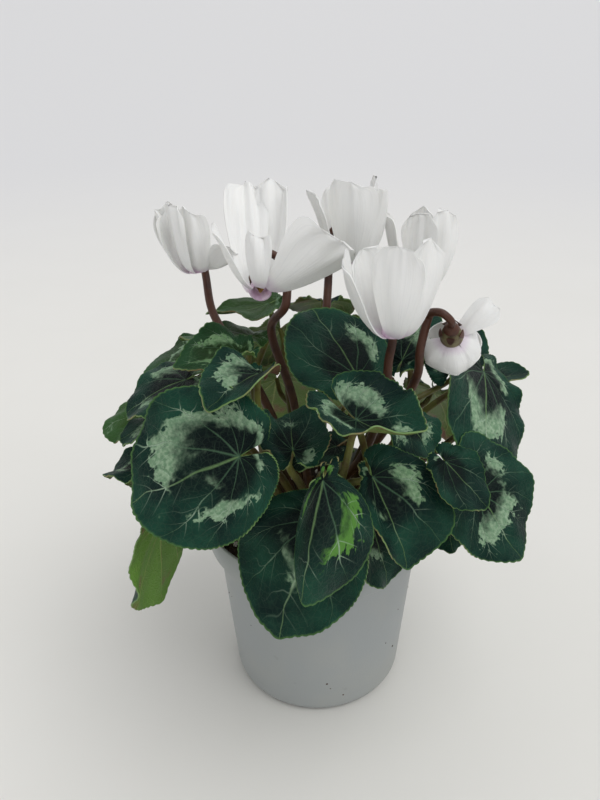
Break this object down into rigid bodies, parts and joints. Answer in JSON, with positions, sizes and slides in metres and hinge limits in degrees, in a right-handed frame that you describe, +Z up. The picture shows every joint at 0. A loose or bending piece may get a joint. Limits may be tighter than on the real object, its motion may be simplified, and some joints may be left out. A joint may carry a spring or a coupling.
{
  "type": "potted_cyclamen",
  "caption": "Potted cyclamen in bloom: white swept-back flowers on hooked stalks above silver-marked heart-shaped leaves, grown in a plain grey tapered plastic pot",
  "frame": {"origin": "centre of the pot's underside, on the surface it stands on", "axes": "+Z up along the pot's axis, -Y towards the front, where the largest leaves hang over the rim"},
  "size_m": [0.2145, 0.207, 0.2664],
  "materials": {
    "pot_plastic": "matt",
    "soil": "rough",
    "stems": "satin",
    "leaf": "satin",
    "petal": "satin",
    "flower_stalk": "satin"
  },
  "bodies": {
    "root": {"pot": "pot_plastic", "soil": "soil", "crown_and_leaf_stalks": "stems", "leaf_01": "leaf", "leaf_02": "leaf", "leaf_03": "leaf", "leaf_04": "leaf", "leaf_05": "leaf", "leaf_06": "leaf", "leaf_07": "leaf", "leaf_08": "leaf", "leaf_09": "leaf", "leaf_10": "leaf", "leaf_11": "leaf", "leaf_12": "leaf", "leaf_13": "leaf", "leaf_14": "leaf", "leaf_15": "leaf", "leaf_16": "leaf", "leaf_17": "leaf", "leaf_18": "leaf", "leaf_19": "leaf", "leaf_20": "leaf", "leaf_21": "leaf", "leaf_22": "leaf", "leaf_23": "leaf", "leaf_24": "leaf", "leaf_25": "leaf", "leaf_26": "leaf", "leaf_27": "leaf", "leaf_28": "leaf", "leaf_29": "leaf", "leaf_30": "leaf", "leaf_31": "leaf", "leaf_32": "leaf", "leaf_33": "leaf", "leaf_34": "leaf", "leaf_35": "leaf", "leaf_36": "leaf", "leaf_37": "leaf", "leaf_38": "leaf", "bloom_1": "petal", "bloom_2": "petal", "bloom_3": "petal", "bloom_4": "petal", "bloom_5": "petal", "bloom_6": "petal", "flower_stalk_1": "flower_stalk", "flower_stalk_2": "flower_stalk", "flower_stalk_3": "flower_stalk", "flower_stalk_4": "flower_stalk", "flower_stalk_5": "flower_stalk", "flower_stalk_6": "flower_stalk"}
  },
  "joints": []
}
